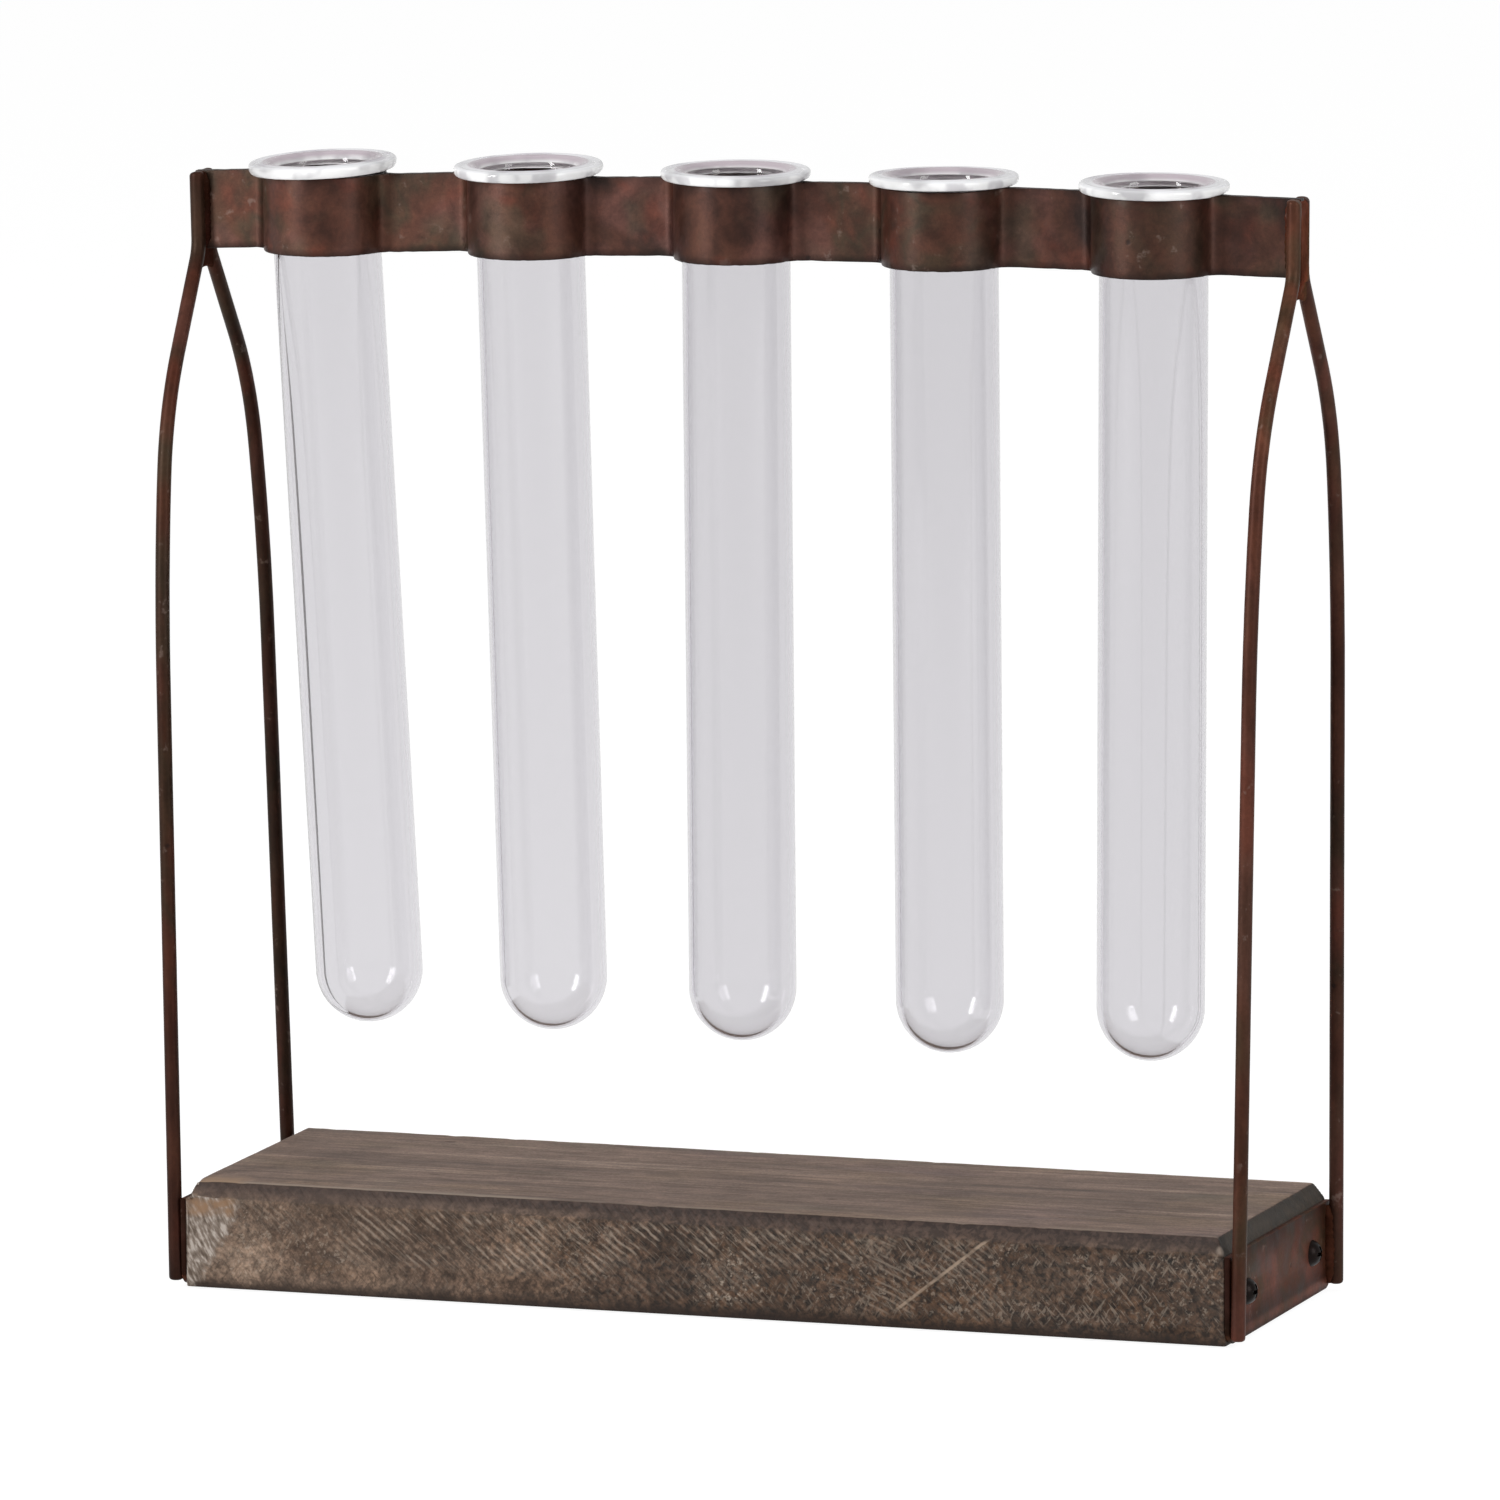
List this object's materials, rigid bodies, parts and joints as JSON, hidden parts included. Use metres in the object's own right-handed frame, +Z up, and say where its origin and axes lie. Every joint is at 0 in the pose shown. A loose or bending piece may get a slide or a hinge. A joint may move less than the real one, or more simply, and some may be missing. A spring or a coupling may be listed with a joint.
{
  "type": "test-tube bud vase rack",
  "caption": "Bud vase: clear glass tubes with flared lips hang in a row of rings on a patinated steel rack over a block of old wood.",
  "frame": {"origin": "middle of the wooden block's underside, on the ground", "axes": "+X along the row of tubes, to the right in the picture; +Y to the back; +Z up"},
  "size_m": [0.2712, 0.0766, 0.2622],
  "materials": {
    "wood_base": "old, stained and worn",
    "left_end_plate": "rust-brown patina under clear wax",
    "right_end_plate": "rust-brown patina under clear wax",
    "left_front_leg": "rust-brown patina under clear wax",
    "left_rear_leg": "rust-brown patina under clear wax",
    "right_front_leg": "rust-brown patina under clear wax",
    "right_rear_leg": "rust-brown patina under clear wax",
    "front_ring_strip": "rust-brown patina under clear wax",
    "rear_ring_strip": "rust-brown patina under clear wax",
    "left_front_screw": "rust-brown patina under clear wax",
    "left_rear_screw": "rust-brown patina under clear wax",
    "right_front_screw": "rust-brown patina under clear wax",
    "right_rear_screw": "rust-brown patina under clear wax",
    "tube_1": "clear",
    "tube_2": "clear",
    "tube_3": "clear",
    "tube_4": "clear",
    "tube_5": "clear"
  },
  "bodies": {
    "rack": {"wood_base": "wood_base", "left_end_plate": "left_end_plate", "right_end_plate": "right_end_plate", "left_front_leg": "left_front_leg", "left_rear_leg": "left_rear_leg", "right_front_leg": "right_front_leg", "right_rear_leg": "right_rear_leg", "front_ring_strip": "front_ring_strip", "rear_ring_strip": "rear_ring_strip", "left_front_screw": "left_front_screw", "left_rear_screw": "left_rear_screw", "right_front_screw": "right_front_screw", "right_rear_screw": "right_rear_screw"},
    "tube_1": {"tube_1": "tube_1"},
    "tube_2": {"tube_2": "tube_2"},
    "tube_3": {"tube_3": "tube_3"},
    "tube_4": {"tube_4": "tube_4"},
    "tube_5": {"tube_5": "tube_5"}
  },
  "joints": [
    {"name": "tube_1_lift", "type": "slide", "parent": "rack", "child": "tube_1", "axis": [-0.0384, -0.0209, 0.999], "range_m": [0, 0.205]},
    {"name": "tube_2_lift", "type": "slide", "parent": "rack", "child": "tube_2", "axis": [-0.0122, -0.0209, 0.9997], "range_m": [0, 0.205]},
    {"name": "tube_3_lift", "type": "slide", "parent": "rack", "child": "tube_3", "axis": [0.0035, -0.0052, 1], "range_m": [0, 0.205]},
    {"name": "tube_4_lift", "type": "slide", "parent": "rack", "child": "tube_4", "axis": [-0.0052, 0.0175, 0.9998], "range_m": [0, 0.205]},
    {"name": "tube_5_lift", "type": "slide", "parent": "rack", "child": "tube_5", "axis": [0.0122, -0.0035, 0.9999], "range_m": [0, 0.205]}
  ]
}
